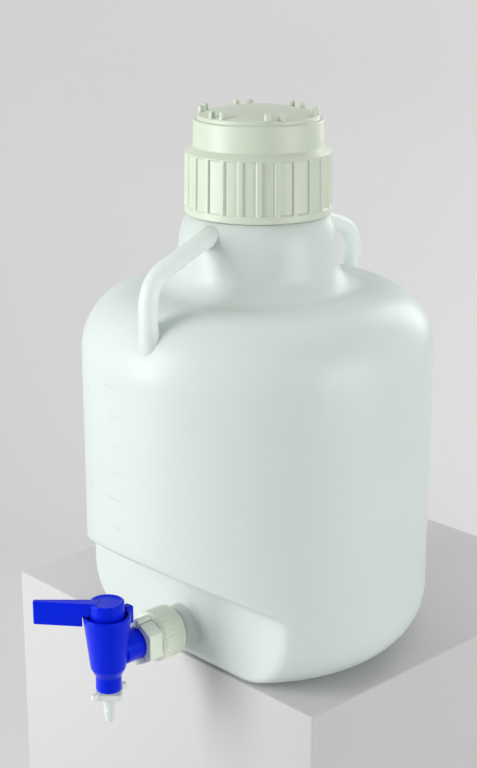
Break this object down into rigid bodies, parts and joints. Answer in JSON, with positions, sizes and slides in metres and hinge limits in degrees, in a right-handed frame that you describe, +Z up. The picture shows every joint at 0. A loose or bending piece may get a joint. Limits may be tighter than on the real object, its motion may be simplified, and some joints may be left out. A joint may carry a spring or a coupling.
{
  "type": "wide-mouth carboy with spigot",
  "caption": "Wide-mouth laboratory carboy in milky plastic with moulded handles, screw cap and a lever-key draw-off spigot.",
  "frame": {"origin": "centre of the flat base, on the bottle's axis", "axes": "+Z up the bottle's axis, -Y the way the spigot points, +X to the right when facing the spigot"},
  "size_m": [0.25, 0.3055, 0.4154],
  "materials": {
    "bottle": "milky, smooth, slightly glossy",
    "cap": "fine satin",
    "spigot": "gloss",
    "nozzle": "natural, satin",
    "seal": "matt"
  },
  "bodies": {
    "bottle": {"carboy_body": "bottle", "outlet_gasket": "seal", "spigot_body": "spigot"},
    "liner": {"cap_liner": "seal"},
    "cap": {"screw_cap": "cap"},
    "ring": {"split_ring": "cap"},
    "nut": {"coupling_nut": "cap"},
    "key": {"spigot_key": "spigot", "key_seal_upper": "seal", "key_seal_lower": "seal"},
    "washer": {"nozzle_washer": "nozzle"},
    "nozzle": {"nozzle": "nozzle"}
  },
  "joints": [
    {"name": "cap_rise", "type": "slide", "parent": "bottle", "child": "liner", "axis": [0, 0, 1], "range_m": [0, 0.064]},
    {"name": "cap_turn", "type": "hinge", "parent": "liner", "child": "cap", "pos_m": [0, 0, 0.34], "axis": [0, 0, 1], "range_deg": [0, 2880]},
    {"name": "nut_travel", "type": "slide", "parent": "bottle", "child": "ring", "axis": [0, -1, 0], "range_m": [0, 0.009]},
    {"name": "nut_turn", "type": "hinge", "parent": "ring", "child": "nut", "pos_m": [0, -0.096, 0.026], "axis": [0, -1, 0], "range_deg": [0, 1080]},
    {"name": "key_turn", "type": "hinge", "parent": "bottle", "child": "key", "pos_m": [0, -0.143, 0.04], "axis": [0, 0, 1], "range_deg": [-46.5, 133.5]},
    {"name": "nozzle_drop", "type": "slide", "parent": "bottle", "child": "washer", "axis": [0, 0, -1], "range_m": [0, 0.01125]},
    {"name": "nozzle_turn", "type": "hinge", "parent": "washer", "child": "nozzle", "pos_m": [0, -0.143, -0.005], "axis": [0, 0, -1], "range_deg": [0, 1620]}
  ],
  "couplings": [
    {"joint": "cap_rise", "follows": "cap_turn", "m_per_rad": 0.0012732},
    {"joint": "nut_travel", "follows": "nut_turn", "m_per_rad": 0.00047746},
    {"joint": "nozzle_drop", "follows": "nozzle_turn", "m_per_rad": 0.00039789}
  ]
}
